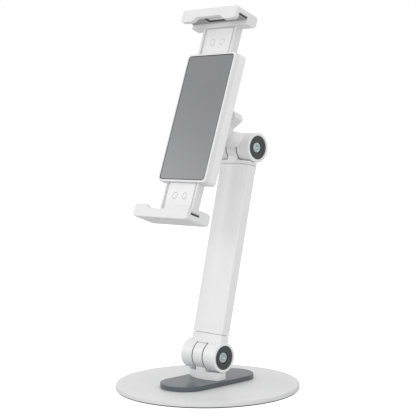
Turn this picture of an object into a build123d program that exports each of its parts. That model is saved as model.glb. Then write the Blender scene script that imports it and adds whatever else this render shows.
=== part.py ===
from build123d import *

import math
import os

# A tablet stand. Units are millimetres. The origin is at the centre of the base's underside,
# +Z is up, X lies along the two hinge axes and -Y is the side that the tablet faces.
# Every function below builds one piece, or one group of like pieces, in the frame of the
# assembly that it belongs to, and main() places each frame and writes one file per piece.

# ---- round base ----
DISC_DIAMETER = 180.0
DISC_THICKNESS = 4.2
DISC_EDGE_RADIUS = 1.0
FOOT_THICKNESS = 1.0
FOOT_INSET = 0.8

# ---- swivel between the base and the arm ----
PLATE_LENGTH = 109.0
PLATE_WIDTH = 50.0
PLATE_THICKNESS = 4.4
PLATE_EDGE_RADIUS = 0.8
SWIVEL_GAP = 0.3
SWIVEL_WASHER_THICKNESS = 1.0
SWIVEL_WASHER_WIDTH = 4.5
SWIVEL_WASHER_INSET = 1.0
PIVOT_RADIUS = 3.0
PIVOT_HEAD_RADIUS = 6.0
PIVOT_HEAD_HEIGHT = 1.8
PIVOT_SOCKET_WIDTH = 4.0
PIVOT_SOCKET_DEPTH = 1.0
PIVOT_SPRING_HEIGHT = 0.5
PIVOT_THREAD_DEPTH = 6.5
BRACKET_SCREW_SPACING = 27.0
BRACKET_SCREW_RADIUS = 2.0
BRACKET_SCREW_HEAD_RADIUS = 3.9
BRACKET_SCREW_HEAD_HEIGHT = 2.2
BRACKET_SCREW_THREAD_DEPTH = 5.5

# ---- friction hinges, the same at both ends of the arm ----
HINGE_RADIUS = 14.5
HINGE_LENGTH = 46.0
KNUCKLE_WIDTH = 12.7
FRICTION_WASHER_THICKNESS = 1.3
FRICTION_WASHER_RADIUS = 14.2
EAR_EDGE_RADIUS = 0.8
HINGE_BOLT_RADIUS = 3.0
HINGE_HEAD_RADIUS = 5.35
HINGE_HEAD_HEIGHT = 1.8
HINGE_SOCKET_WIDTH = 4.0
HINGE_SOCKET_DEPTH = 1.5
END_DISC_RADIUS = 11.7
END_DISC_THICKNESS = 3.2
END_DISC_RECESS = 3.8
END_DISC_WEB = 0.9
HEAD_POCKET_RADIUS = 5.8
END_DISC_GROOVE_RADIUS = 9.2
END_DISC_GROOVE_WIDTH = 0.7
END_DISC_GROOVE_DEPTH = 0.35
SPRING_WASHER_RADIUS = 8.0
SPRING_WASHER_SHEET = 0.7
SPRING_WASHER_CONE = 0.5
HINGE_NUT_WIDTH = 10.0
HINGE_NUT_HEIGHT = 5.5
HINGE_NUT_INSET = 0.5
KNUCKLE_BLOCK_DROP = 14.5
LOWER_AXIS_RISE = 22.2

# ---- arm ----
ARM_WIDTH = 40.0
ARM_DEPTH = 20.0
ARM_FLAT_SIDE = 10.0
ARM_CORNER_RADIUS = 1.0
ARM_WALL = 2.0
ARM_LEAN = 13.7
HINGE_SPAN = 208.5
FORK_LENGTH = 21.0
HEAD_LENGTH = 18.0
PLUG_LENGTH = 20.0
ARM_SEAM_GAP = 0.4
ARM_SCREW_RADIUS = 1.75
ARM_SCREW_HEAD_RADIUS = 3.2
ARM_SCREW_HEAD_HEIGHT = 1.6
ARM_SCREW_LENGTH = 8.0
ARM_SCREW_PITCH = 9.0
ARM_SCREW_INSET = 5.5

# ---- neck and ball joint behind the holder ----
PANEL_LEAN = 19.5
PANEL_FORWARD = 68.8
PANEL_RISE = 7.9
BALL_BEHIND_CASE = 14.4
BALL_RADIUS = 9.5
STEM_RADIUS = 4.5
NECK_TIP_RADIUS = 5.0
NECK_LENGTH = 27.0
NECK_ROOT_HALF_WIDTH = 22.3
NECK_ROOT_HALF_DEPTH = 12.5
NECK_ROOT_OFFSET = 1.7
NECK_ROOT_START = 1.5
STEM_THREAD_RADIUS = 3.0
STEM_THREAD_DEPTH = 10.0
SEAT_THICKNESS = 0.9
SEAT_OPENING_ANGLE = 52.0
REAR_SEAT_WIDTH = 5.4
FRONT_SEAT_NEAR = 6.2
FRONT_SEAT_FAR = 9.0
CUP_RADIUS = 14.0
CUP_FLANGE_RADIUS = 18.0
CUP_FLANGE_THICKNESS = 3.0
CUP_BACK_REACH = 6.5
CUP_SLIT_WIDTH = 1.2
CUP_SLIT_DEPTH = 5.0
CUP_SLITS = 3
CUP_SCREW_CIRCLE = 30.4
CUP_SCREW_RADIUS = 1.5
CUP_SCREW_HEAD_RADIUS = 2.8
CUP_SCREW_HEAD_HEIGHT = 1.5
LOCK_RING_RADIUS = 15.8
LOCK_RING_FRONT = 2.0
LOCK_RING_BACK = 9.5
LOCK_RING_BACK_RADIUS = 13.0
LOCK_RING_MOUTH_RADIUS = 11.7
LOCK_WING_ANGLE = 30.5
LOCK_WING_REACH = 25.2
LOCK_WING_TIP_WIDTH = 7.6
LOCK_WING_ROOT_WIDTH = 18.0
LOCK_WING_TIP_RADIUS = 2.0
LOCK_WING_EDGE_RADIUS = 0.8

# ---- holder body ----
BODY_WIDTH = 65.5
BODY_HEIGHT = 131.0
BODY_CORNER_RADIUS = 3.5
BODY_FRONT_EDGE_RADIUS = 0.8
BODY_BACK_EDGE_RADIUS = 1.5
FRONT_SHELL_THICKNESS = 5.2
SHELL_WALL = 2.0
RACK_SPACE_DEPTH = 2.6
PAD_MARGIN = 2.0
PAD_POCKET_DEPTH = 1.4
PAD_THICKNESS = 1.2
PAD_GAP = 0.8
PAD_CORNER_RADIUS = 2.5
SLIDE_FRONT_DEPTH = 2.8
POST_RADIUS = 3.0
POST_SIDE_INSET = 5.05
POST_END_INSET = 9.0
SHELL_SCREW_RADIUS = 1.1
SHELL_SCREW_HEAD_RADIUS = 2.3
SHELL_SCREW_HEAD_HEIGHT = 1.5
SHELL_SCREW_RECESS = 3.0
SHELL_SCREW_TIP = 0.75
RIB_THICKNESS = 1.2
LEDGE_WIDTH = 5.0

# ---- jaws and their slides ----
JAW_EXTENSION = 27.5
JAW_WIDTH = 74.0
JAW_DEPTH = 30.0
JAW_HEIGHT = 12.8
JAW_FRONT_REACH = 16.5
JAW_BACK_RADIUS = 4.2
JAW_END_RADIUS = 2.5
JAW_EDGE_RADIUS = 0.8
LIP_THICKNESS = 4.5
LIP_TIP_RADIUS = 3.0
NOTCH_DEPTH = 4.0
NOTCH_OUTER_WIDTH = 43.0
NOTCH_INNER_WIDTH = 32.0
NOTCH_RADIUS = 2.0
CORNER_PICK_MARGIN = 1.0
CORNER_PICK_TOLERANCE = 0.01
CHANNEL_WIDTH = 12.0
CHANNEL_DEPTH = 7.0
LINER_THICKNESS = 2.8
LINER_END_GAP = 1.0
CABLE_SLOT_LENGTH = 25.0
CABLE_SLOT_WIDTH = 9.5
CABLE_SLOT_RADIUS = 2.0
SLIDE_WIDTH = 45.0
SLIDE_THICKNESS = 8.2
SLIDE_LENGTH = 65.0
SLIDE_RAIL_WIDTH = 2.4
SLIDE_GROOVE_WIDTH = 2.4
SLIDE_PLATE_THICKNESS = 1.2
SLIDE_PLATE_RECESS = 0.6
SLIDE_PLATE_END_GAP = 1.0
SLIDE_PLATE_JAW_GAP = 0.5
RIVET_SPACING = 13.0
RIVET_HEAD_RADIUS = 2.9
RIVET_GAP = 0.35
RIVET_SHANK_RADIUS = 2.0
RIVET_SHANK_DEPTH = 3.0
RIVET_FROM_JAW = 14.7

# ---- rack and pinion that keeps the jaws level ----
GEAR_MODULE = 1.0
PINION_TEETH = 18
PRESSURE_ANGLE = 20.0
DEDENDUM_FACTOR = 1.25
FLANK_STEPS = 6
GEAR_BACKLASH = 0.12
RACK_WIDTH = 7.5
RACK_THICKNESS = 1.6
RACK_BELOW_CENTRE = 13.0
RACK_END_INSET = 11.5
RACK_RELIEF = 0.5
RACK_SCREW_RADIUS = 1.25
RACK_SCREW_HEAD_RADIUS = 2.2
RACK_SCREW_HEAD_HEIGHT = 1.1
RACK_SCREW_DEPTH = 4.0
RACK_SCREW_OFFSET = 0.6
RACK_SCREW_INSETS = (14.0, 5.0)
PINION_THICKNESS = 1.5
PINION_SHAFT_RADIUS = 2.0
PINION_BOSS_RADIUS = 3.5
PINION_SPRING_HEIGHT = 0.4
PINION_SHAFT_SKIN = 0.5

# ---- clearances ----
RUNNING_CLEARANCE = 0.05
BALL_CLEARANCE = 0.06
FREE_CLEARANCE = 0.3
LOOSE_CLEARANCE = 0.2
SADDLE_CLEARANCE = 0.4
KNUCKLE_POCKET_CLEARANCE = 0.5
SNUG_CLEARANCE = 0.1
OVERCUT = 1.0

# ---- worked out from the sizes above ----
DISC_TOP = FOOT_THICKNESS + DISC_THICKNESS
PLATE_BOTTOM = DISC_TOP + SWIVEL_GAP
PLATE_TOP = PLATE_BOTTOM + PLATE_THICKNESS
LOWER_AXIS_HEIGHT = PLATE_TOP + LOWER_AXIS_RISE
EAR_INNER = KNUCKLE_WIDTH / 2 + FRICTION_WASHER_THICKNESS
EAR_OUTER = HINGE_LENGTH / 2
DISC_SEAT = EAR_OUTER - END_DISC_RECESS
SPRING_STACK = 2 * (SPRING_WASHER_SHEET + SPRING_WASHER_CONE)
HEAD_SEAT = DISC_SEAT + END_DISC_WEB
NUT_POCKET_DEPTH = HINGE_NUT_HEIGHT + HINGE_NUT_INSET
SLIDE_BACK_DEPTH = SLIDE_FRONT_DEPTH + SLIDE_THICKNESS
FLOOR_DEPTH = SLIDE_BACK_DEPTH + RACK_SPACE_DEPTH
BODY_THICKNESS = FLOOR_DEPTH + SHELL_WALL
BALL_BEHIND_FACE = BODY_THICKNESS + BALL_BEHIND_CASE
NECK_ANGLE = 90.0 - PANEL_LEAN - math.degrees(math.atan2(PANEL_RISE, PANEL_FORWARD - BALL_BEHIND_FACE))
BALL_REACH = math.hypot(PANEL_RISE, PANEL_FORWARD - BALL_BEHIND_FACE)
SEAT_INNER_RADIUS = BALL_RADIUS + BALL_CLEARANCE
SEAT_OUTER_RADIUS = SEAT_INNER_RADIUS + SEAT_THICKNESS
CUP_CAVITY_RADIUS = SEAT_OUTER_RADIUS + BALL_CLEARANCE
SLOT_FRONT_DEPTH = SLIDE_FRONT_DEPTH - FREE_CLEARANCE
SLOT_BACK_DEPTH = SLIDE_BACK_DEPTH + FREE_CLEARANCE
SLOT_HALF_WIDTH = SLIDE_WIDTH / 2 + FREE_CLEARANCE
JAW_BASE = BODY_HEIGHT / 2 + JAW_EXTENSION
LIP_BACK = JAW_FRONT_REACH - LIP_THICKNESS
CHANNEL_BACK = LIP_BACK - CHANNEL_WIDTH
PITCH_RADIUS = GEAR_MODULE * PINION_TEETH / 2
RACK_ABOVE_CENTRE = BODY_HEIGHT / 2 - RACK_END_INSET
RACK_SCREW_PLACES = [RACK_ABOVE_CENTRE - inset for inset in RACK_SCREW_INSETS]
TOOTH_PITCH = math.pi * GEAR_MODULE
PINION_FRONT_DEPTH = SLIDE_BACK_DEPTH + FREE_CLEARANCE
PINION_BACK_DEPTH = PINION_FRONT_DEPTH + PINION_THICKNESS

# ---- frames ----
ARM_FRAME = Pos(0, 0, LOWER_AXIS_HEIGHT) * Rot(-ARM_LEAN, 0, 0)
LEAN = math.radians(ARM_LEAN)
UPPER_AXIS = Vector(
    0,
    HINGE_SPAN * math.sin(LEAN),
    LOWER_AXIS_HEIGHT + HINGE_SPAN * math.cos(LEAN),
)
HEAD_FRAME = Pos(UPPER_AXIS) * Rot(-ARM_LEAN, 0, 0)
NECK_FRAME = Pos(UPPER_AXIS) * Rot(NECK_ANGLE, 0, 0)
PANEL_TURN = Rot(90.0 - PANEL_LEAN, 0, 0)
PANEL_FRAME = Pos(UPPER_AXIS) * PANEL_TURN * Pos(0, PANEL_RISE, PANEL_FORWARD)
BALL_FRAME = PANEL_FRAME * Pos(0, 0, -BALL_BEHIND_FACE)


# ---- shapes used by several pieces ----
def z_cylinder(radius, low, high, x=0.0, y=0.0):
    """A cylinder along Z between two heights."""
    return Pos(x, y, low) * Cylinder(radius, high - low, align=(Align.CENTER, Align.CENTER, Align.MIN))


def x_cylinder(radius, low, high):
    """A cylinder along X between two places."""
    return Rot(0, 90, 0) * z_cylinder(radius, low, high)


def x_hexagon(width, low, high):
    """A hexagonal prism along X, its width measured across its flats."""
    hexagon = RegularPolygon(width / 2, 6, major_radius=False)
    return Rot(0, 90, 0) * Pos(0, 0, low) * extrude(hexagon, high - low)


def z_cone(low_radius, high_radius, low, high, x=0.0, y=0.0):
    """A cone frustum along Z between two heights."""
    cone = Cone(low_radius, high_radius, high - low, align=(Align.CENTER, Align.CENTER, Align.MIN))
    return Pos(x, y, low) * cone


def box(x, y, z):
    """A box from three (low, high) pairs."""
    size = [high - low for low, high in (x, y, z)]
    middle = [(high + low) / 2 for low, high in (x, y, z)]
    return Pos(*middle) * Box(*size)


def rounded_slab(width, height, radius, low, high):
    """A slab with rounded upright corners, between two heights."""
    return Pos(0, 0, low) * extrude(RectangleRounded(width, height, radius), high - low)


def lens_face(shrink=0.0):
    """The arm's section: two flat narrow sides joined by bulging front and back faces."""
    half_width = ARM_WIDTH / 2
    half_depth = ARM_DEPTH / 2
    half_side = ARM_FLAT_SIDE / 2
    front = ThreePointArc((-half_width, -half_side), (0, -half_depth), (half_width, -half_side))
    right = Line((half_width, -half_side), (half_width, half_side))
    back = ThreePointArc((half_width, half_side), (0, half_depth), (-half_width, half_side))
    left = Line((-half_width, half_side), (-half_width, -half_side))
    face = make_face(front + right + back + left)
    if shrink:
        return offset(face, -shrink, kind=Kind.INTERSECTION)
    return fillet(face.vertices(), ARM_CORNER_RADIUS)


def end_fillet(solid, axis, place, radius):
    """Round the edges of a solid's first (0) or last (-1) face along an axis."""
    return fillet(solid.faces().sort_by(axis)[place].edges(), radius)


# ---- base ----
def base_disc():
    """The heavy round plate, bored for the pivot bolt and sunk below for its head."""
    disc = z_cylinder(DISC_DIAMETER / 2, FOOT_THICKNESS, DISC_TOP)
    disc = end_fillet(disc, Axis.Z, -1, DISC_EDGE_RADIUS)
    bore = z_cylinder(PIVOT_RADIUS + RUNNING_CLEARANCE, 0, DISC_TOP + OVERCUT)
    return disc - bore - z_cylinder(PIVOT_HEAD_RADIUS + FREE_CLEARANCE, 0, pivot_seat())


def pivot_seat():
    """Height of the shoulder in the disc that the pivot's spring washer pushes on."""
    return FOOT_THICKNESS + SNUG_CLEARANCE + PIVOT_HEAD_HEIGHT + PIVOT_SPRING_HEIGHT


def base_foot_pad():
    """The thin anti-slip sheet stuck under the disc."""
    return z_cylinder(DISC_DIAMETER / 2 - FOOT_INSET, 0, FOOT_THICKNESS)


def pivot_spring_washer():
    """The washer that loads the swivel, above the pivot bolt's head."""
    top = pivot_seat()
    ring = z_cylinder(PIVOT_HEAD_RADIUS, top - PIVOT_SPRING_HEIGHT, top)
    return ring - z_cylinder(PIVOT_RADIUS + LOOSE_CLEARANCE, 0, top + OVERCUT)


def pivot_bolt():
    """The thin-headed bolt that comes up through the disc and plate into the bracket."""
    head_top = pivot_seat() - PIVOT_SPRING_HEIGHT
    head = z_cylinder(PIVOT_HEAD_RADIUS, head_top - PIVOT_HEAD_HEIGHT, head_top)
    hexagon = RegularPolygon(PIVOT_SOCKET_WIDTH / 2, 6, major_radius=False)
    socket = Pos(0, 0, head_top - PIVOT_HEAD_HEIGHT) * extrude(hexagon, PIVOT_SOCKET_DEPTH)
    shank = z_cylinder(PIVOT_RADIUS, head_top, PLATE_TOP + PIVOT_THREAD_DEPTH)
    return head + shank - socket


def swivel_washer_radii():
    """Inner and outer radius of the sliding ring under the swivel plate."""
    outer = PLATE_WIDTH / 2 - SWIVEL_WASHER_INSET
    return outer - SWIVEL_WASHER_WIDTH, outer


def swivel_washer():
    """The low-friction ring that the swivel plate turns on."""
    inner, outer = swivel_washer_radii()
    top = DISC_TOP + SWIVEL_WASHER_THICKNESS
    return z_cylinder(outer, DISC_TOP, top) - z_cylinder(inner, DISC_TOP - OVERCUT, top + OVERCUT)


def bracket_screw_places():
    """X of the two screws that hold the bracket on the plate."""
    return (-BRACKET_SCREW_SPACING / 2, BRACKET_SCREW_SPACING / 2)


def swivel_plate():
    """The oblong plate under the arm, with full round ends front and back."""
    outline = Rot(0, 0, 90) * SlotOverall(PLATE_LENGTH, PLATE_WIDTH)
    plate = Pos(0, 0, PLATE_BOTTOM) * extrude(outline, PLATE_THICKNESS)
    plate = end_fillet(plate, Axis.Z, -1, PLATE_EDGE_RADIUS)
    inner, outer = swivel_washer_radii()
    ring_top = DISC_TOP + SWIVEL_WASHER_THICKNESS
    recess = z_cylinder(outer + SNUG_CLEARANCE, PLATE_BOTTOM - OVERCUT, ring_top)
    recess -= z_cylinder(inner - SNUG_CLEARANCE, PLATE_BOTTOM - OVERCUT, ring_top)
    plate -= recess
    plate -= z_cylinder(PIVOT_RADIUS + LOOSE_CLEARANCE, 0, PLATE_TOP + OVERCUT)
    for x in bracket_screw_places():
        plate -= z_cylinder(BRACKET_SCREW_RADIUS + LOOSE_CLEARANCE, 0, PLATE_TOP + OVERCUT, x)
        plate -= bracket_screw_head(x, SNUG_CLEARANCE)
    return plate


def bracket_screw_head(x, clearance=0.0):
    """The countersunk head of one bracket screw, flush with the plate's underside."""
    return z_cone(
        BRACKET_SCREW_HEAD_RADIUS + clearance,
        BRACKET_SCREW_RADIUS + clearance,
        PLATE_BOTTOM,
        PLATE_BOTTOM + BRACKET_SCREW_HEAD_HEIGHT,
        x,
    )


def bracket_screws():
    """Two countersunk screws, from under the plate into the bracket."""
    low = PLATE_BOTTOM + BRACKET_SCREW_HEAD_HEIGHT
    high = PLATE_TOP + BRACKET_SCREW_THREAD_DEPTH
    places = bracket_screw_places()
    return [bracket_screw_head(x) + z_cylinder(BRACKET_SCREW_RADIUS, low, high, x) for x in places]


def knuckle_block(foot):
    """A lens-shaped block that carries a centre knuckle on the hinge axis, foot below it."""
    half_knuckle = KNUCKLE_WIDTH / 2
    block = Pos(0, 0, -foot) * extrude(lens_face(), foot - KNUCKLE_BLOCK_DROP)
    tongue = Pos(0, 0, -KNUCKLE_BLOCK_DROP) * extrude(lens_face(), KNUCKLE_BLOCK_DROP)
    reach = HINGE_RADIUS + ARM_DEPTH
    tongue &= box((-half_knuckle, half_knuckle), (-reach, reach), (-reach, reach))
    solid = block + tongue + x_cylinder(HINGE_RADIUS, -half_knuckle, half_knuckle)
    saddle = HINGE_RADIUS + SADDLE_CLEARANCE
    solid -= x_cylinder(saddle, half_knuckle, ARM_WIDTH)
    solid -= x_cylinder(saddle, -ARM_WIDTH, -half_knuckle)
    return solid - x_cylinder(HINGE_BOLT_RADIUS + RUNNING_CLEARANCE, -ARM_WIDTH, ARM_WIDTH)


def base_bracket():
    """The block on the swivel plate, whose knuckle the arm's fork straddles."""
    solid = Pos(0, 0, LOWER_AXIS_HEIGHT) * knuckle_block(LOWER_AXIS_RISE)
    solid -= z_cylinder(PIVOT_RADIUS, 0, PLATE_TOP + PIVOT_THREAD_DEPTH)
    for x in bracket_screw_places():
        solid -= z_cylinder(BRACKET_SCREW_RADIUS, 0, PLATE_TOP + BRACKET_SCREW_THREAD_DEPTH, x)
    return solid


# ---- hinge hardware, in the frame of a hinge ----
def hinge_ears():
    """The two outer barrels of a fork, on either side of the knuckle."""
    right = x_cylinder(HINGE_RADIUS, EAR_INNER, EAR_OUTER)
    right = end_fillet(right, Axis.X, -1, EAR_EDGE_RADIUS)
    return right + mirror(right, about=Plane.YZ)


def hinge_cuts():
    """What is cut out of a fork: the bolt's bore, disc recesses, spring and nut pockets."""
    disc = END_DISC_RADIUS + SNUG_CLEARANCE
    cuts = x_cylinder(HINGE_BOLT_RADIUS + SNUG_CLEARANCE, -EAR_OUTER, EAR_OUTER)
    cuts += x_cylinder(disc, DISC_SEAT, EAR_OUTER + OVERCUT)
    cuts += x_cylinder(disc, -EAR_OUTER - OVERCUT, -DISC_SEAT)
    cuts += x_cylinder(SPRING_WASHER_RADIUS + LOOSE_CLEARANCE, DISC_SEAT - SPRING_STACK, DISC_SEAT)
    cuts += x_hexagon(HINGE_NUT_WIDTH + LOOSE_CLEARANCE, -DISC_SEAT, NUT_POCKET_DEPTH - DISC_SEAT)
    return cuts


def hinge_bolt():
    """The pan-head bolt along a hinge's axis."""
    head = x_cylinder(HINGE_HEAD_RADIUS, HEAD_SEAT, HEAD_SEAT + HINGE_HEAD_HEIGHT)
    head = end_fillet(head, Axis.X, -1, HINGE_HEAD_HEIGHT / 2)
    top = HEAD_SEAT + HINGE_HEAD_HEIGHT
    head -= x_hexagon(HINGE_SOCKET_WIDTH, top - HINGE_SOCKET_DEPTH, top + OVERCUT)
    return head + x_cylinder(HINGE_BOLT_RADIUS, SNUG_CLEARANCE - DISC_SEAT, HEAD_SEAT)


def hinge_nut():
    """The locking nut in the left ear's hexagonal pocket."""
    inner = NUT_POCKET_DEPTH - DISC_SEAT
    nut = x_hexagon(HINGE_NUT_WIDTH, inner - HINGE_NUT_HEIGHT, inner)
    return nut - x_cylinder(HINGE_BOLT_RADIUS, -EAR_OUTER, 0)


def end_disc(bored):
    """A dark disc in an ear's end, with a ring groove and a pocket, bored for the bolt or not."""
    outer_face = DISC_SEAT + END_DISC_THICKNESS
    disc = x_cylinder(END_DISC_RADIUS, DISC_SEAT, outer_face)
    groove = x_cylinder(END_DISC_GROOVE_RADIUS, outer_face - END_DISC_GROOVE_DEPTH, outer_face)
    inner = END_DISC_GROOVE_RADIUS - END_DISC_GROOVE_WIDTH
    groove -= x_cylinder(inner, outer_face - END_DISC_GROOVE_DEPTH, outer_face)
    disc -= groove
    disc -= x_cylinder(HEAD_POCKET_RADIUS, HEAD_SEAT, EAR_OUTER)
    if bored:
        return disc - x_cylinder(HINGE_BOLT_RADIUS + LOOSE_CLEARANCE, 0, EAR_OUTER)
    return mirror(disc, about=Plane.YZ)


def spring_washers():
    """Two coned spring washers, edge to edge, under the right-hand disc."""
    low = DISC_SEAT - SPRING_STACK
    inner = HINGE_BOLT_RADIUS + LOOSE_CLEARANCE
    outer = SPRING_WASHER_RADIUS
    section = make_face(
        Polyline(
            (inner, 0, low + SPRING_WASHER_CONE),
            (outer, 0, low),
            (outer, 0, low + SPRING_WASHER_SHEET),
            (inner, 0, low + SPRING_WASHER_CONE + SPRING_WASHER_SHEET),
            close=True,
        )
    )
    first = revolve(section, Axis.Z)
    middle = low + SPRING_STACK / 2
    second = mirror(first, about=Plane.XY.offset(middle))
    return [Rot(0, 90, 0) * first, Rot(0, 90, 0) * second]


def friction_washers():
    """The two thin washers that fill the gaps between the knuckle and the ears."""
    right = x_cylinder(FRICTION_WASHER_RADIUS, KNUCKLE_WIDTH / 2, EAR_INNER)
    right -= x_cylinder(HINGE_BOLT_RADIUS + LOOSE_CLEARANCE, 0, EAR_OUTER)
    return [right, mirror(right, about=Plane.YZ)]


def hinge_hardware(prefix):
    """Every loose piece of one hinge, named for the hinge that it is in."""
    return {
        prefix + "_hinge_bolt": hinge_bolt(),
        prefix + "_hinge_nut": hinge_nut(),
        prefix + "_hinge_pressure_disc": end_disc(True),
        prefix + "_hinge_end_cap": end_disc(False),
        prefix + "_hinge_spring_washers": spring_washers(),
        prefix + "_hinge_friction_washers": friction_washers(),
    }


# ---- arm, along Z from the lower hinge axis ----
def knuckle_pocket():
    """The round pocket in a fork that the other piece's knuckle turns in."""
    return x_cylinder(HINGE_RADIUS + KNUCKLE_POCKET_CLEARANCE, -EAR_INNER, EAR_INNER)


def arm_screw_heights(end, direction):
    """Heights of the two screws at one end of the tube."""
    first = end + direction * ARM_SCREW_INSET
    return (first, first + direction * ARM_SCREW_PITCH)


def lower_screw_heights():
    """Heights of the screws that hold the lower fork."""
    return arm_screw_heights(FORK_LENGTH, 1)


def upper_screw_heights():
    """Heights of the screws that hold the arm's head."""
    return arm_screw_heights(HINGE_SPAN - HEAD_LENGTH, -1)


def arm_screw(height, clearance=0.0):
    """One countersunk screw through the back of the tube."""
    top = ARM_DEPTH / 2 - SNUG_CLEARANCE
    radius = ARM_SCREW_RADIUS + clearance
    head = z_cone(radius, ARM_SCREW_HEAD_RADIUS + clearance, top - ARM_SCREW_HEAD_HEIGHT, top)
    shank = z_cylinder(radius, top - ARM_SCREW_LENGTH, top - ARM_SCREW_HEAD_HEIGHT)
    above = z_cylinder(ARM_SCREW_HEAD_RADIUS + clearance, top, top + OVERCUT)
    screw = head + shank + above if clearance else head + shank
    return Pos(0, 0, height) * Rot(-90, 0, 0) * screw


def arm_plug():
    """The part of a fork or head that fits inside the tube."""
    return lens_face(ARM_WALL + SNUG_CLEARANCE)


def lower_fork():
    """The casting at the arm's foot: two hinge ears and a plug that fits in the tube."""
    solid = extrude(lens_face(), FORK_LENGTH) + hinge_ears()
    solid += Pos(0, 0, FORK_LENGTH) * extrude(arm_plug(), PLUG_LENGTH)
    solid -= knuckle_pocket() + hinge_cuts()
    for height in lower_screw_heights():
        solid -= arm_screw(height)
    return solid


def arm_tube():
    """The hollow extrusion between the fork and the head."""
    section = lens_face() - lens_face(ARM_WALL)
    length = HINGE_SPAN - HEAD_LENGTH - FORK_LENGTH - 2 * ARM_SEAM_GAP
    tube = Pos(0, 0, FORK_LENGTH + ARM_SEAM_GAP) * extrude(section, length)
    for height in lower_screw_heights() + upper_screw_heights():
        tube -= arm_screw(height, SNUG_CLEARANCE)
    return tube


def arm_head():
    """The casting at the arm's top, whose knuckle the holder's fork straddles."""
    solid = knuckle_block(HEAD_LENGTH)
    solid += Pos(0, 0, -HEAD_LENGTH - PLUG_LENGTH) * extrude(arm_plug(), PLUG_LENGTH)
    for height in upper_screw_heights():
        solid -= arm_screw(height - HINGE_SPAN)
    return solid


def arm_screws(heights):
    """The two screws at one end of the tube."""
    return [arm_screw(height) for height in heights]


# ---- neck, along Z from the upper hinge axis to the ball ----
def holder_fork():
    """The fork on the upper hinge, which narrows to the ball stud's socket."""
    root = Pos(0, NECK_ROOT_OFFSET, NECK_ROOT_START) * Ellipse(NECK_ROOT_HALF_WIDTH, NECK_ROOT_HALF_DEPTH)
    tip = Pos(0, 0, NECK_LENGTH) * Circle(NECK_TIP_RADIUS)
    solid = hinge_ears() + loft([root, tip])
    solid -= knuckle_pocket() + hinge_cuts()
    return solid - z_cylinder(STEM_THREAD_RADIUS, NECK_LENGTH - STEM_THREAD_DEPTH, NECK_LENGTH + OVERCUT)


def ball_stud():
    """The steel ball on its stem, screwed into the neck."""
    stem = z_cylinder(STEM_RADIUS, NECK_LENGTH, BALL_REACH)
    thread = z_cylinder(STEM_THREAD_RADIUS, NECK_LENGTH - STEM_THREAD_DEPTH, NECK_LENGTH)
    return Pos(0, 0, BALL_REACH) * Sphere(BALL_RADIUS) + stem + thread


# ---- ball socket, with +Z forward and its origin at the ball's centre ----
def seat_ring(low, high):
    """A slice of thin spherical shell around the ball, between two heights."""
    shell = Sphere(SEAT_OUTER_RADIUS) - Sphere(SEAT_INNER_RADIUS)
    reach = SEAT_OUTER_RADIUS + OVERCUT
    return shell & box((-reach, reach), (-reach, reach), (low, high))


def ball_seat_rear():
    """The nylon ring that the ball is pulled against, with room for the stem."""
    low = -SEAT_INNER_RADIUS * math.cos(math.radians(SEAT_OPENING_ANGLE))
    return seat_ring(low, low + REAR_SEAT_WIDTH)


def ball_seat_front():
    """The nylon ring that pushes on the front of the ball."""
    return seat_ring(FRONT_SEAT_NEAR, FRONT_SEAT_FAR)


def cup_screw_places():
    """X, Y of the four screws that hold the cup on the back shell."""
    radius = CUP_SCREW_CIRCLE / 2
    angles = [math.radians(45 + 90 * k) for k in range(4)]
    return [(radius * math.cos(a), radius * math.sin(a)) for a in angles]


def socket_cup():
    """The flanged cup around the ball, slit at the back so that the ring can squeeze it."""
    flange_back = BALL_BEHIND_CASE - CUP_FLANGE_THICKNESS
    cup = z_cylinder(CUP_FLANGE_RADIUS, flange_back, BALL_BEHIND_CASE)
    cup += z_cylinder(CUP_RADIUS, -CUP_BACK_REACH, flange_back)
    cup -= Sphere(CUP_CAVITY_RADIUS)
    reach = CUP_RADIUS + OVERCUT
    half = CUP_SLIT_WIDTH / 2
    slit = box((-reach, reach), (-half, half), (-CUP_BACK_REACH - OVERCUT, CUP_SLIT_DEPTH - CUP_BACK_REACH))
    for k in range(CUP_SLITS):
        cup -= Rot(0, 0, 180 * k / CUP_SLITS) * slit
    for x, y in cup_screw_places():
        cup -= z_cylinder(CUP_SCREW_RADIUS, flange_back - OVERCUT, BALL_BEHIND_CASE + OVERCUT, x, y)
    return cup


def ring_wing():
    """One tapered finger wing of the lock ring, along +X from the ring's middle."""
    tip = LOCK_WING_TIP_WIDTH / 2
    root = LOCK_WING_ROOT_WIDTH / 2
    reach = LOCK_WING_REACH
    face = make_face(Polyline((0, -root), (reach, -tip), (reach, tip), (0, root), close=True))
    face = fillet(face.vertices().sort_by(Axis.X)[-2:], LOCK_WING_TIP_RADIUS)
    wing = Pos(0, 0, -LOCK_RING_BACK) * extrude(face, LOCK_RING_BACK + LOCK_RING_FRONT)
    return end_fillet(wing, Axis.Z, 0, LOCK_WING_EDGE_RADIUS)


def lock_ring():
    """The ring with two finger wings that screws over the cup and locks the ball."""
    shoulder = -CUP_BACK_REACH - SNUG_CLEARANCE
    ring = z_cylinder(LOCK_RING_RADIUS, shoulder, LOCK_RING_FRONT)
    ring += z_cone(LOCK_RING_BACK_RADIUS, LOCK_RING_RADIUS, -LOCK_RING_BACK, shoulder)
    for side in (0, 180):
        ring += Rot(0, 0, LOCK_WING_ANGLE + side) * ring_wing()
    ring -= z_cylinder(CUP_RADIUS + RUNNING_CLEARANCE, shoulder, LOCK_RING_FRONT + OVERCUT)
    lip = math.sqrt(CUP_CAVITY_RADIUS**2 - CUP_BACK_REACH**2)
    return ring - z_cone(LOCK_RING_MOUTH_RADIUS, lip, -LOCK_RING_BACK, shoulder)


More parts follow.
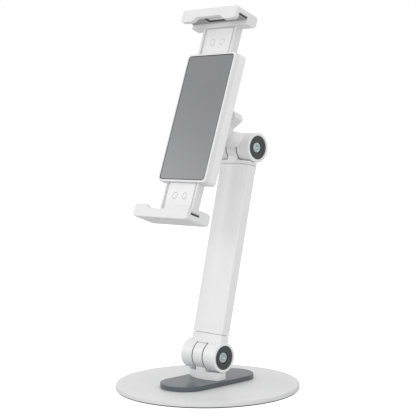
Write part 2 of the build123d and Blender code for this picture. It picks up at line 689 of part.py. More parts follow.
# ---- holder body, with +Z forward and its origin at the middle of its front face ----
def post_places():
    """X, Y of the posts that the shell screws go through."""
    x = BODY_WIDTH / 2 - POST_SIDE_INSET
    y = BODY_HEIGHT / 2 - POST_END_INSET
    return [(side * x, row * y) for side in (-1, 1) for row in (-1, 0, 1)]


def slide_slot(low, high):
    """The opening through both end walls that the slides run in, between two depths."""
    reach = BODY_HEIGHT / 2 + OVERCUT
    return box((-SLOT_HALF_WIDTH, SLOT_HALF_WIDTH), (-reach, reach), (-high, -low))


def shell_cavity(low, high):
    """The hollow inside the side and end walls, between two depths."""
    width = BODY_WIDTH - 2 * SHELL_WALL
    height = BODY_HEIGHT - 2 * SHELL_WALL
    return rounded_slab(width, height, BODY_CORNER_RADIUS - SHELL_WALL, -high, -low)


def back_shell():
    """The rear half of the holder's case, with the slide guides and screw posts."""
    back = -BODY_THICKNESS
    shell = rounded_slab(BODY_WIDTH, BODY_HEIGHT, BODY_CORNER_RADIUS, back, -FRONT_SHELL_THICKNESS)
    shell = end_fillet(shell, Axis.Z, 0, BODY_BACK_EDGE_RADIUS)
    shell -= shell_cavity(FRONT_SHELL_THICKNESS - OVERCUT, FLOOR_DEPTH)
    half = BODY_HEIGHT / 2 - SHELL_WALL
    for side in (-1, 1):
        rib = sorted((side * SLOT_HALF_WIDTH, side * (SLOT_HALF_WIDTH + RIB_THICKNESS)))
        ledge = sorted((side * (SLOT_HALF_WIDTH - LEDGE_WIDTH), side * SLOT_HALF_WIDTH))
        shell += box(rib, (-half, half), (-FLOOR_DEPTH, -FRONT_SHELL_THICKNESS))
        shell += box(ledge, (-half, half), (-FLOOR_DEPTH, -SLOT_BACK_DEPTH))
    for x, y in post_places():
        shell += z_cylinder(POST_RADIUS, -FLOOR_DEPTH, -FRONT_SHELL_THICKNESS, x, y)
    shell -= slide_slot(FRONT_SHELL_THICKNESS - OVERCUT, SLOT_BACK_DEPTH)
    recess = SHELL_SCREW_RECESS - BODY_THICKNESS
    for x, y in post_places():
        shell -= z_cylinder(SHELL_SCREW_HEAD_RADIUS + LOOSE_CLEARANCE, back - OVERCUT, recess, x, y)
        shell -= z_cylinder(SHELL_SCREW_RADIUS + LOOSE_CLEARANCE, back, 0, x, y)
    for x, y in cup_screw_places():
        shell -= z_cylinder(CUP_SCREW_RADIUS + LOOSE_CLEARANCE, back - OVERCUT, 0, x, y)
        shell -= cup_screw_head(x, y, SNUG_CLEARANCE)
    boss_top = -PINION_BACK_DEPTH - PINION_SPRING_HEIGHT
    shell += z_cylinder(PINION_BOSS_RADIUS, -FLOOR_DEPTH, boss_top)
    return shell - z_cylinder(PINION_SHAFT_RADIUS, shaft_bottom(), 0)


def shaft_bottom():
    """Where the pinion's shaft ends in the back shell's floor."""
    return PINION_SHAFT_SKIN - BODY_THICKNESS


def cup_screw_head(x, y, clearance=0.0):
    """The countersunk head of one cup screw, flush with the inside of the floor."""
    return z_cone(
        CUP_SCREW_RADIUS + clearance,
        CUP_SCREW_HEAD_RADIUS + clearance,
        -FLOOR_DEPTH - CUP_SCREW_HEAD_HEIGHT,
        -FLOOR_DEPTH,
        x,
        y,
    )


def socket_screws():
    """Four countersunk screws, from inside the back shell into the cup's flange."""
    low = -BODY_THICKNESS - CUP_FLANGE_THICKNESS + SNUG_CLEARANCE
    high = -FLOOR_DEPTH - CUP_SCREW_HEAD_HEIGHT
    places = cup_screw_places()
    return [cup_screw_head(x, y) + z_cylinder(CUP_SCREW_RADIUS, low, high, x, y) for x, y in places]


def shell_screws():
    """Six screws, from the back through the posts into the front shell."""
    seat = SHELL_SCREW_RECESS - BODY_THICKNESS
    tip = -SLOT_FRONT_DEPTH - SHELL_SCREW_TIP
    screws = []
    for x, y in post_places():
        head = z_cylinder(SHELL_SCREW_HEAD_RADIUS, seat - SHELL_SCREW_HEAD_HEIGHT, seat, x, y)
        screws.append(head + z_cylinder(SHELL_SCREW_RADIUS, seat, tip, x, y))
    return screws


def pad_size():
    """Width and height of the silicone pad on the front."""
    margin = PAD_MARGIN + PAD_GAP
    return BODY_WIDTH - 2 * margin, BODY_HEIGHT - 2 * margin


def front_shell():
    """The front half of the holder's case, with the shallow pocket for the pad."""
    shell = rounded_slab(BODY_WIDTH, BODY_HEIGHT, BODY_CORNER_RADIUS, -FRONT_SHELL_THICKNESS, 0)
    shell = end_fillet(shell, Axis.Z, -1, BODY_FRONT_EDGE_RADIUS)
    width, height = pad_size()
    shell -= rounded_slab(
        width + 2 * PAD_GAP, height + 2 * PAD_GAP, PAD_CORNER_RADIUS + PAD_GAP, -PAD_POCKET_DEPTH, OVERCUT
    )
    shell -= shell_cavity(SLOT_FRONT_DEPTH, FRONT_SHELL_THICKNESS + OVERCUT)
    for x, y in post_places():
        shell += z_cylinder(POST_RADIUS, -FRONT_SHELL_THICKNESS, -SLOT_FRONT_DEPTH, x, y)
    shell -= slide_slot(SLOT_FRONT_DEPTH, FRONT_SHELL_THICKNESS + OVERCUT)
    tip = -SLOT_FRONT_DEPTH - SHELL_SCREW_TIP
    for x, y in post_places():
        shell -= z_cylinder(SHELL_SCREW_RADIUS, -FRONT_SHELL_THICKNESS - OVERCUT, tip, x, y)
    return shell


def front_pad():
    """The grey silicone sheet that the tablet lies on."""
    width, height = pad_size()
    front = PAD_THICKNESS - PAD_POCKET_DEPTH
    return rounded_slab(width, height, PAD_CORNER_RADIUS, -PAD_POCKET_DEPTH, front)


def pinion_shaft():
    """The pin in the back shell that the pinion turns on."""
    return z_cylinder(PINION_SHAFT_RADIUS, shaft_bottom(), -PINION_FRONT_DEPTH)


def pinion_spring():
    """The washer behind the pinion that gives the jaws their drag."""
    back = -PINION_BACK_DEPTH - PINION_SPRING_HEIGHT
    ring = z_cylinder(PINION_BOSS_RADIUS, back, -PINION_BACK_DEPTH)
    return ring - z_cylinder(PINION_SHAFT_RADIUS + LOOSE_CLEARANCE, -BODY_THICKNESS, 0)


def pinion_half_angle(radius):
    """Half the angle that a pinion tooth spans at a radius, with involute flanks."""
    pressure = math.radians(PRESSURE_ANGLE)
    base = PITCH_RADIUS * math.cos(pressure)
    at_pitch = math.pi / (2 * PINION_TEETH) - GEAR_BACKLASH / (2 * PITCH_RADIUS)
    here = math.acos(min(1.0, base / radius))
    return at_pitch + (math.tan(pressure) - pressure) - (math.tan(here) - here)


def sync_pinion():
    """The pinion between the two racks, with a tooth pointing along +X."""
    root = PITCH_RADIUS - DEDENDUM_FACTOR * GEAR_MODULE
    tip = PITCH_RADIUS + GEAR_MODULE
    radii = [root + (tip - root) * k / FLANK_STEPS for k in range(FLANK_STEPS + 1)]
    points = []
    for tooth in range(PINION_TEETH):
        middle = 2 * math.pi * tooth / PINION_TEETH
        flank = [(r, middle - pinion_half_angle(r)) for r in radii]
        flank += [(r, middle + pinion_half_angle(r)) for r in reversed(radii)]
        points += [(r * math.cos(a), r * math.sin(a)) for r, a in flank]
    gear = extrude(make_face(Polyline(*points, close=True)), PINION_THICKNESS)
    gear = Pos(0, 0, -PINION_BACK_DEPTH) * gear
    return gear - z_cylinder(PINION_SHAFT_RADIUS + RUNNING_CLEARANCE, -BODY_THICKNESS, 0)


# ---- upper jaw, at rest; the lower one is the same turned half round the body's middle ----
def jaw_lip():
    """The front lip: two rounded lobes with a sloping notch between them."""
    half = JAW_WIDTH / 2
    outer = NOTCH_OUTER_WIDTH / 2
    inner = NOTCH_INNER_WIDTH / 2
    low = JAW_BASE
    notch = JAW_BASE + NOTCH_DEPTH
    high = JAW_BASE + JAW_HEIGHT
    corners = [(-half, low), (-outer, low), (-inner, notch), (inner, notch), (outer, low), (half, low)]
    face = make_face(Polyline(*corners, (half, high), (-half, high), close=True))
    ends = [v for v in face.vertices() if abs(v.X) > outer + CORNER_PICK_MARGIN and v.Y < notch]
    roots = [v for v in face.vertices() if v not in ends and v.Y < high - CORNER_PICK_MARGIN]
    face = fillet(ends, LIP_TIP_RADIUS)
    places = [(v.X, v.Y) for v in roots]
    again = []
    for vertex in face.vertices():
        nearest = min(math.dist((vertex.X, vertex.Y), place) for place in places)
        if nearest < CORNER_PICK_TOLERANCE:
            again.append(vertex)
    face = fillet(again, NOTCH_RADIUS)
    return Pos(0, 0, LIP_BACK) * extrude(face, LIP_THICKNESS)


def cable_slot():
    """The opening in the jaw's floor that a charging plug goes through."""
    middle = (LIP_BACK + CHANNEL_BACK) / 2
    face = RectangleRounded(CABLE_SLOT_LENGTH, CABLE_SLOT_WIDTH, CABLE_SLOT_RADIUS)
    cutter = extrude(face, JAW_HEIGHT + 2 * OVERCUT)
    return Pos(0, JAW_BASE - OVERCUT, middle) * Rot(-90, 0, 0) * cutter


def jaw_block():
    """The jaw's outer form: round at the back and at its outer corners."""
    low = JAW_FRONT_REACH - JAW_DEPTH
    high = JAW_BASE + JAW_HEIGHT
    corners = [(JAW_BASE, low), (high, low), (high, JAW_FRONT_REACH), (JAW_BASE, JAW_FRONT_REACH)]
    side = make_face(Polyline(*[(0, y, z) for y, z in corners], close=True))
    side = fillet(side.vertices().sort_by(Axis.Z)[:2], JAW_BACK_RADIUS)
    block = Pos(-JAW_WIDTH / 2, 0, 0) * extrude(side, JAW_WIDTH, dir=(1, 0, 0))
    half = JAW_WIDTH / 2
    front = make_face(Polyline((-half, JAW_BASE), (half, JAW_BASE), (half, high), (-half, high), close=True))
    front = fillet(front.vertices().sort_by(Axis.Y)[-2:], JAW_END_RADIUS)
    block &= Pos(0, 0, low) * extrude(front, JAW_DEPTH)
    return end_fillet(block, Axis.Z, -1, JAW_EDGE_RADIUS)


def jaw():
    """A hook for the tablet's edge, in one piece with the slide that runs in the body."""
    block = jaw_block()
    reach = JAW_WIDTH
    behind = (-JAW_DEPTH, LIP_BACK)
    lip = block & jaw_lip()
    solid = block & box((-reach, reach), (0, 2 * reach), behind)
    solid += lip
    channel_top = JAW_BASE + CHANNEL_DEPTH
    solid -= box((-reach, reach), (JAW_BASE - OVERCUT, channel_top), (CHANNEL_BACK, LIP_BACK))
    solid -= cable_slot()
    half = SLIDE_WIDTH / 2
    inner_end = JAW_BASE - SLIDE_LENGTH
    solid += box((-half, half), (inner_end, JAW_BASE + OVERCUT), (-SLIDE_BACK_DEPTH, -SLIDE_FRONT_DEPTH))
    solid -= slide_channel()
    relief = (PITCH_RADIUS - GEAR_MODULE - RACK_RELIEF, PITCH_RADIUS + GEAR_MODULE + RACK_WIDTH)
    solid -= box(
        (-relief[1], -relief[0]),
        (inner_end - OVERCUT, JAW_BASE),
        (-SLIDE_BACK_DEPTH - OVERCUT, RACK_RELIEF - SLIDE_BACK_DEPTH),
    )
    back = plate_back()
    for x in (-RIVET_SPACING / 2, RIVET_SPACING / 2):
        solid -= z_cylinder(RIVET_SHANK_RADIUS, back - RIVET_SHANK_DEPTH, back, x, rivet_height())
    for y in RACK_SCREW_PLACES:
        solid -= rack_screw(y, RACK_SCREW_DEPTH)
    return solid


def plate_back():
    """Z of the back of a slide's cover plate."""
    return -SLIDE_FRONT_DEPTH - SLIDE_PLATE_RECESS - SLIDE_PLATE_THICKNESS


def rivet_height():
    """Y of the two rivets in the upper slide."""
    return JAW_BASE - RIVET_FROM_JAW


def slide_channel():
    """The shallow channel between a slide's two rails, which holds its plate."""
    half = SLIDE_WIDTH / 2 - SLIDE_RAIL_WIDTH
    return box((-half, half), (JAW_BASE - SLIDE_LENGTH - OVERCUT, JAW_BASE), (plate_back(), 0))


def slide_plate():
    """The thin plate between a slide's rails."""
    half = SLIDE_WIDTH / 2 - SLIDE_RAIL_WIDTH - SLIDE_GROOVE_WIDTH
    low = JAW_BASE - SLIDE_LENGTH + SLIDE_PLATE_END_GAP
    high = JAW_BASE - SLIDE_PLATE_JAW_GAP
    plate = box((-half, half), (low, high), (plate_back(), plate_back() + SLIDE_PLATE_THICKNESS))
    for x in (-RIVET_SPACING / 2, RIVET_SPACING / 2):
        plate -= z_cylinder(RIVET_HEAD_RADIUS + RIVET_GAP, plate_back() - OVERCUT, 0, x, rivet_height())
    return plate


def slide_rivets():
    """The two flush rivets that hold a slide's plate."""
    back = plate_back()
    y = rivet_height()
    rivets = []
    for x in (-RIVET_SPACING / 2, RIVET_SPACING / 2):
        head = z_cylinder(RIVET_HEAD_RADIUS, back, back + SLIDE_PLATE_THICKNESS, x, y)
        rivets.append(head + z_cylinder(RIVET_SHANK_RADIUS, back - RIVET_SHANK_DEPTH, back, x, y))
    return rivets


def jaw_liner():
    """The rubber strip on the floor of a jaw's channel."""
    half = JAW_WIDTH / 2 - LINER_END_GAP
    high = JAW_BASE + CHANNEL_DEPTH
    strip = box(
        (-half, half),
        (high - LINER_THICKNESS, high),
        (CHANNEL_BACK + SNUG_CLEARANCE, LIP_BACK - SNUG_CLEARANCE),
    )
    return strip - cable_slot()


def rack_screw(y, depth):
    """One countersunk screw from the rack's back into the slide."""
    x = PITCH_RADIUS + GEAR_MODULE + RACK_WIDTH / 2 - RACK_SCREW_OFFSET
    back = -SLIDE_BACK_DEPTH - RACK_THICKNESS
    neck = back + RACK_SCREW_HEAD_HEIGHT
    head = z_cone(RACK_SCREW_HEAD_RADIUS, RACK_SCREW_RADIUS, back, neck, x, y)
    return head + z_cylinder(RACK_SCREW_RADIUS, neck, depth - SLIDE_BACK_DEPTH, x, y)


def slide_rack():
    """The toothed strip behind a slide; its teeth face the pinion."""
    pressure = math.tan(math.radians(PRESSURE_ANGLE))
    tip = PITCH_RADIUS - GEAR_MODULE
    root = PITCH_RADIUS + DEDENDUM_FACTOR * GEAR_MODULE
    half = TOOTH_PITCH / 4 - GEAR_BACKLASH / 2
    half_tip = half - GEAR_MODULE * pressure
    half_root = half + DEDENDUM_FACTOR * GEAR_MODULE * pressure
    first = math.ceil((half_root - RACK_BELOW_CENTRE) / TOOTH_PITCH - 0.5)
    last = math.floor((RACK_ABOVE_CENTRE - half_root) / TOOTH_PITCH - 0.5)
    points = [(root, -RACK_BELOW_CENTRE)]
    for tooth in range(first, last + 1):
        y = (tooth + 0.5) * TOOTH_PITCH
        points += [(root, y - half_root), (tip, y - half_tip), (tip, y + half_tip), (root, y + half_root)]
    back = tip + RACK_WIDTH
    points += [(root, RACK_ABOVE_CENTRE), (back, RACK_ABOVE_CENTRE), (back, -RACK_BELOW_CENTRE)]
    strip = extrude(make_face(Polyline(*points, close=True)), RACK_THICKNESS)
    strip = Pos(0, 0, -SLIDE_BACK_DEPTH - RACK_THICKNESS) * strip
    for y in RACK_SCREW_PLACES:
        strip -= rack_screw(y, RACK_SCREW_DEPTH)
    return strip


def rack_screws():
    """The two screws that hold a rack on its slide."""
    return [rack_screw(y, RACK_SCREW_DEPTH) for y in RACK_SCREW_PLACES]


def jaw_set(prefix):
    """Every piece that slides with one jaw, built as the upper one."""
    return {
        prefix + "_jaw": jaw(),
        prefix + "_jaw_liner": jaw_liner(),
        prefix + "_slide_plate": slide_plate(),
        prefix + "_slide_rivets": slide_rivets(),
        prefix + "_rack": slide_rack(),
        prefix + "_rack_screws": rack_screws(),
    }


# ---- the whole stand ----
def placed(frame, pieces):
    """Move named pieces, each a solid or a list of solids, into the stand's own frame."""
    moved = {}
    for name, piece in pieces.items():
        solids = piece if isinstance(piece, list) else [piece]
        moved[name] = [frame * solid for solid in solids]
    return moved


def all_pieces():
    """Every node of the stand, as a list of solids by name."""
    pieces = placed(
        Pos(0, 0, 0),
        {
            "base_disc": base_disc(),
            "base_foot_pad": base_foot_pad(),
            "pivot_spring_washer": pivot_spring_washer(),
            "pivot_bolt": pivot_bolt(),
            "swivel_washer": swivel_washer(),
            "swivel_plate": swivel_plate(),
            "bracket_screws": bracket_screws(),
            "base_bracket": base_bracket(),
        },
    )
    arm = {
        "lower_fork": lower_fork(),
        "arm_tube": arm_tube(),
        "fork_screws": arm_screws(lower_screw_heights()),
        "head_screws": arm_screws(upper_screw_heights()),
    }
    arm.update(hinge_hardware("lower"))
    pieces.update(placed(ARM_FRAME, arm))
    pieces.update(placed(HEAD_FRAME, {"arm_head": arm_head()}))
    neck = {"holder_fork": holder_fork(), "ball_stud": ball_stud()}
    neck.update(hinge_hardware("upper"))
    pieces.update(placed(NECK_FRAME, neck))
    socket = {
        "ball_seat_rear": ball_seat_rear(),
        "ball_seat_front": ball_seat_front(),
        "socket_cup": socket_cup(),
        "lock_ring": lock_ring(),
    }
    pieces.update(placed(BALL_FRAME, socket))
    holder = {
        "back_shell": back_shell(),
        "front_shell": front_shell(),
        "front_pad": front_pad(),
        "shell_screws": shell_screws(),
        "socket_screws": socket_screws(),
        "pinion_shaft": pinion_shaft(),
        "pinion_spring": pinion_spring(),
        "sync_pinion": sync_pinion(),
    }
    holder.update(jaw_set("upper"))
    pieces.update(placed(PANEL_FRAME, holder))
    pieces.update(placed(PANEL_FRAME * Rot(0, 0, 180), jaw_set("lower")))
    return pieces


def main():
    """Write one STEP file for each node."""
    os.makedirs("parts", exist_ok=True)
    for name, solids in all_pieces().items():
        whole = solids[0] if len(solids) == 1 else Compound(children=solids)
        export_step(whole, os.path.join("parts", name + ".step"))


main()
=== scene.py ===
"""Looks of a desk tablet stand: finishes, fine pieces, light and camera around its CAD model."""

import logging
import math
from dataclasses import dataclass
from enum import Enum
from typing import Any, Mapping, Optional, Sequence, Union

import bpy
import numpy as np
from mathutils import Matrix, Vector

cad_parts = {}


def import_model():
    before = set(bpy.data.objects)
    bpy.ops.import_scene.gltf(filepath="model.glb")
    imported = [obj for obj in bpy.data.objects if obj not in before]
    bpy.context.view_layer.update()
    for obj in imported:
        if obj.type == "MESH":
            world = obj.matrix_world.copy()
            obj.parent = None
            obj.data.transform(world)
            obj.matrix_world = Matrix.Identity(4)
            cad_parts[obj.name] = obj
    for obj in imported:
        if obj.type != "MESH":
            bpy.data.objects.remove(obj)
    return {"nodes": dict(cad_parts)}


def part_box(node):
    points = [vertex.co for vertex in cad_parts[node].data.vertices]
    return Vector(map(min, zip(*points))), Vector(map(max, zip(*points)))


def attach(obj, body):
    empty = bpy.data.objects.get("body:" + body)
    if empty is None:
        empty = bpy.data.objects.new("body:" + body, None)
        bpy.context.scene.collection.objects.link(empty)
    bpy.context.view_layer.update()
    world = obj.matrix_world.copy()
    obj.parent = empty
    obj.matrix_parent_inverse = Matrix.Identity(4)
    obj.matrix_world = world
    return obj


LOG = logging.getLogger("tablet_stand")
MM = 0.001
PANEL_LEAN = math.radians(19.5)
TAU = 2.0 * math.pi
ALONG_X = (0.0, math.pi / 2, 0.0)


class End(Enum):
    """Which end of the arm a hinge is at, or of the holder a jaw is at."""

    UPPER = "upper"
    LOWER = "lower"

    @property
    def sign(self) -> float:
        """Which way the end lies along the holder: 1 for up, -1 for down."""
        return 1.0 if self is End.UPPER else -1.0


# ---------------------------------------------------------------- shader expressions
Value = Union["Sock", float, int, Sequence[float]]


class Sock:
    """One output socket of a material, which Python's operators work on.

    An expression on values adds Math nodes, so ``1 - mask * 0.2`` is written as it is read.
    """

    def __init__(self, shader: "Shader", socket: bpy.types.NodeSocket) -> None:
        """Wrap a socket of one shader's tree."""
        self.shader = shader
        self.socket = socket

    def _math(self, operation: str, *values: Value) -> "Sock":
        """Add one Math node on values, in their order."""
        inputs = {index: value for index, value in enumerate(values)}
        return self.shader.node("ShaderNodeMath", {"operation": operation}, inputs)

    def __add__(self, other: Value) -> "Sock":
        """Sum."""
        return self._math("ADD", self, other)

    def __radd__(self, other: Value) -> "Sock":
        """Sum, with the number first."""
        return self._math("ADD", other, self)

    def __sub__(self, other: Value) -> "Sock":
        """Difference."""
        return self._math("SUBTRACT", self, other)

    def __rsub__(self, other: Value) -> "Sock":
        """Difference from a number."""
        return self._math("SUBTRACT", other, self)

    def __mul__(self, other: Value) -> "Sock":
        """Product."""
        return self._math("MULTIPLY", self, other)

    def __rmul__(self, other: Value) -> "Sock":
        """Product, with the number first."""
        return self._math("MULTIPLY", other, self)

    def sine(self) -> "Sock":
        """Sine of radians."""
        return self._math("SINE", self)

    def smooth(self, low: float, high: float) -> "Sock":
        """Take a smooth step from 0 at low to 1 at high.

        Args:
            low: The value where the step starts.
            high: The value where it ends.

        Returns:
            The step, held at 0 and 1 outside.
        """
        settings = {"interpolation_type": "SMOOTHSTEP"}
        values = {0: self, 1: low, 2: high, 3: 0.0, 4: 1.0}
        return self.shader.node("ShaderNodeMapRange", settings, values)


class Shader:
    """A material under construction: a node tree with one Principled BSDF."""

    def __init__(self, name: str) -> None:
        """Start an empty material of that name."""
        self.material = bpy.data.materials.new(name)
        self.material.use_nodes = True
        self.tree = self.material.node_tree
        self.tree.nodes.clear()

    def node(
        self,
        kind: str,
        settings: Optional[Mapping[str, Any]] = None,
        values: Optional[Mapping[Union[str, int], Value]] = None,
        output: Union[str, int] = 0,
    ) -> Sock:
        """Add a node.

        Args:
            kind: The node's type name.
            settings: Its properties, set first.
            values: Its inputs by name or number, each a number, a colour or a Sock.
            output: Which output to give back.

        Returns:
            The chosen output, wrapped.
        """
        made = self.tree.nodes.new(kind)
        for key, setting in (settings or {}).items():
            setattr(made, key, setting)
        for key, value in (values or {}).items():
            self.feed(made.inputs[key], value)
        return Sock(self, made.outputs[output])

    def feed(self, target: bpy.types.NodeSocket, value: Value) -> None:
        """Set an input to a number or colour, or link a Sock to it.

        Args:
            target: The input.
            value: The number, colour or Sock.
        """
        if isinstance(value, Sock):
            self.tree.links.new(value.socket, target)
        elif isinstance(value, (int, float)):
            target.default_value = value
        else:
            wanted = len(target.default_value)
            numbers = [float(v) for v in value]
            target.default_value = (numbers + [1.0])[:wanted] if wanted == 4 else numbers

    def place(self, centre: Sequence[float] = (0, 0, 0), turn: Sequence[float] = (0, 0, 0)) -> Sock:
        """Object coordinates, moved so that centre is the origin and then turned back by turn.

        Args:
            centre: The pattern's origin in the stand's frame.
            turn: The pattern's turn about each axis, in radians.

        Returns:
            The coordinates.
        """
        coordinates = self.node("ShaderNodeTexCoord", output="Object")
        settings = {"vector_type": "TEXTURE"}
        values = {"Vector": coordinates, "Location": centre, "Rotation": turn}
        return self.node("ShaderNodeMapping", settings, values)

    def noise(self, place: Sock, size: float, detail: float = 2.0, rough: float = 0.5) -> Sock:
        """Noise from 0 to 1.

        Args:
            place: Where it is read.
            size: About how far across its features are, in metres.
            detail: How many finer layers it has.
            rough: How strong the finer layers are.

        Returns:
            The noise.
        """
        settings = {"noise_dimensions": "3D"}
        values = {"Vector": place, "Scale": 1.0 / size, "Detail": detail, "Roughness": rough}
        return self.node("ShaderNodeTexNoise", settings, values)

    def cells(self, place: Sock, size: float) -> Sock:
        """Distance to the middle of the nearest cell, in cells of size metres."""
        return self.node("ShaderNodeTexVoronoi", {}, {"Vector": place, "Scale": 1.0 / size})

    def stretched(self, place: Sock, scale: Sequence[float]) -> Sock:
        """Coordinates multiplied along each axis."""
        values = {0: place, 1: scale}
        return self.node("ShaderNodeVectorMath", {"operation": "MULTIPLY"}, values)

    def distance(self, place: Sock, axes: Sequence[float] = (1, 1, 0)) -> Sock:
        """Distance from the pattern's axis."""
        flat = self.stretched(place, axes)
        return self.node("ShaderNodeVectorMath", {"operation": "LENGTH"}, {0: flat}, "Value")

    def along(self, frame: "Place") -> Sock:
        """Distance from a place's origin along its up axis.

        Args:
            frame: The place, whose sign says which way counts as up.

        Returns:
            The distance in metres.
        """
        centred = self.place(centre=frame.origin)
        values = {0: centred, 1: tuple(frame.up * frame.sign)}
        return self.node("ShaderNodeVectorMath", {"operation": "DOT_PRODUCT"}, values, "Value")

    def mix(self, factor: Value, low: Value, high: Value) -> Sock:
        """A colour between two, by factor."""
        settings = {"data_type": "RGBA", "clamp_factor": True}
        return self.node("ShaderNodeMix", settings, {0: factor, 6: low, 7: high}, 2)

    def soft_edges(self, radius: float) -> Sock:
        """A normal that is rounded over sharp edges by radius metres."""
        return self.node("ShaderNodeBevel", {"samples": 4}, {"Radius": radius})

    def bump(self, height: Sock, depth: float, under: Optional[Sock] = None) -> Sock:
        """A normal from a height.

        Args:
            height: The height, from 0 to 1.
            depth: The depth in metres that a height of 1 stands for.
            under: A normal that it is added to, if any.

        Returns:
            The normal.
        """
        values: dict[Union[str, int], Value] = {"Height": height, "Distance": depth, "Strength": 1.0}
        if under is not None:
            values["Normal"] = under
        return self.node("ShaderNodeBump", {}, values)

    def finish(self, **inputs: Value) -> bpy.types.Material:
        """Close the material with a Principled BSDF.

        Args:
            **inputs: The shader's inputs, with "_" for a space in their names.

        Returns:
            The finished material.
        """
        values = {name.replace("_", " "): value for name, value in inputs.items()}
        surface = self.node("ShaderNodeBsdfPrincipled", {}, values)
        out = self.tree.nodes.new("ShaderNodeOutputMaterial")
        self.tree.links.new(surface.socket, out.inputs["Surface"])
        return self.material


def shade(colour: Sequence[float], factor: float) -> tuple[float, ...]:
    """A colour made lighter or darker by a factor."""
    return tuple(min(1.0, channel * factor) for channel in colour)


# ---------------------------------------------------------------- places
@dataclass(frozen=True)
class Place:
    """A frame in the stand: an origin and three axes, for pieces worked out on their own."""

    origin: tuple[float, float, float]
    lean: float = 0.0
    sign: float = 1.0

    @property
    def right(self) -> np.ndarray:
        """Along the hinge axes."""
        return np.array([1.0, 0.0, 0.0])

    @property
    def up(self) -> np.ndarray:
        """Up the leaning face."""
        return np.array([0.0, math.sin(self.lean), math.cos(self.lean)])

    @property
    def out(self) -> np.ndarray:
        """Out of the leaning face, forwards."""
        return np.array([0.0, -math.cos(self.lean), math.sin(self.lean)])

    def world(self, points: np.ndarray) -> np.ndarray:
        """Points given as (right, up, out), moved into the stand's frame."""
        axes = np.stack([self.right, self.up, self.out])
        return points @ axes + np.array(self.origin)


# ---------------------------------------------------------------- finishes
@dataclass(frozen=True)
class PowderCoat:
    """Satin powder coat on metal: a fine orange peel, tiny pits and uneven gloss."""

    name: str
    colour: tuple[float, float, float]
    roughness: float = 0.38
    peel_size: float = 1.1 * MM
    peel_depth: float = 0.022 * MM
    grain_size: float = 0.35 * MM
    grain_depth: float = 0.006 * MM
    cloud_size: float = 38.0 * MM
    cloud_tint: float = 0.965
    pit_spacing: float = 2.3 * MM
    pit_tint: float = 0.93
    edge_radius: float = 0.35 * MM

    def build(self) -> bpy.types.Material:
        """Make the material.

        Returns:
            The finished material.
        """
        shader = Shader(self.name)
        place = shader.place()
        peel = shader.noise(place, self.peel_size, 1.5)
        grain = shader.noise(place, self.grain_size, 2.0)
        cloud = shader.noise(place, self.cloud_size, 3.0).smooth(0.3, 0.7)
        pits = shader.cells(place, self.pit_spacing).smooth(0.03, 0.09)
        colour = shader.mix(cloud, shade(self.colour, self.cloud_tint), self.colour)
        colour = shader.mix(pits, shade(self.colour, self.pit_tint), colour)
        normal = shader.bump(peel, self.peel_depth, shader.soft_edges(self.edge_radius))
        normal = shader.bump(grain, self.grain_depth, normal)
        rough = self.roughness + (peel - 0.5) * 0.12 + cloud * 0.05
        return shader.finish(
            Base_Color=colour, Roughness=rough, Normal=normal, Coat_Weight=0.12, Coat_Roughness=0.2
        )


@dataclass(frozen=True)
class MouldedPlastic:
    """Moulded plastic with a fine spark-eroded grain and faint flow marks."""

    name: str
    colour: tuple[float, float, float]
    roughness: float = 0.42
    grain_size: float = 0.42 * MM
    grain_depth: float = 0.016 * MM
    flow_size: float = 26.0 * MM
    flow_tint: float = 0.97
    edge_radius: float = 0.3 * MM

    def build(self) -> bpy.types.Material:
        """Make the material.

        Returns:
            The finished material.
        """
        shader = Shader(self.name)
        place = shader.place()
        grain = shader.noise(place, self.grain_size, 3.0, 0.6)
        dimples = shader.cells(place, self.grain_size * 1.6)
        flow = shader.noise(shader.stretched(place, (1.0, 0.35, 1.0)), self.flow_size, 2.0)
        flow = flow.smooth(0.32, 0.68)
        colour = shader.mix(flow, shade(self.colour, self.flow_tint), self.colour)
        colour = shader.mix(grain.smooth(0.2, 0.5), shade(self.colour, 0.975), colour)
        soft = shader.soft_edges(self.edge_radius)
        normal = shader.bump(grain * 0.6 + dimples * 0.4, self.grain_depth, soft)
        rough = self.roughness + (grain - 0.5) * 0.16 + flow * 0.04
        return shader.finish(Base_Color=colour, Roughness=rough, Normal=normal)


@dataclass(frozen=True)
class GlossPaint:
    """Glossy metallic paint: a clear coat over fine flake, with a soft ripple."""

    name: str
    colour: tuple[float, float, float]
    flake: tuple[float, float, float]
    roughness: float = 0.28
    flake_size: float = 0.3 * MM
    ripple_size: float = 7.0 * MM
    ripple_depth: float = 0.03 * MM
    cloud_size: float = 30.0 * MM

    def build(self) -> bpy.types.Material:
        """Make the material.

        Returns:
            The finished material.
        """
        shader = Shader(self.name)
        place = shader.place()
        flakes = shader.noise(place, self.flake_size, 1.0).smooth(0.52, 0.75)
        ripple = shader.noise(place, self.ripple_size, 1.0)
        cloud = shader.noise(place, self.cloud_size, 2.0)
        colour = shader.mix(flakes, self.colour, self.flake)
        colour = shader.mix(cloud.smooth(0.3, 0.7) * 0.4, colour, shade(self.colour, 0.9))
        normal = shader.bump(ripple, self.ripple_depth)
        rough = self.roughness + flakes * 0.1
        return shader.finish(
            Base_Color=colour,
            Roughness=rough,
            Specular_IOR_Level=0.05,
            Normal=normal,
            Coat_Weight=0.34,
            Coat_Roughness=0.1,
        )


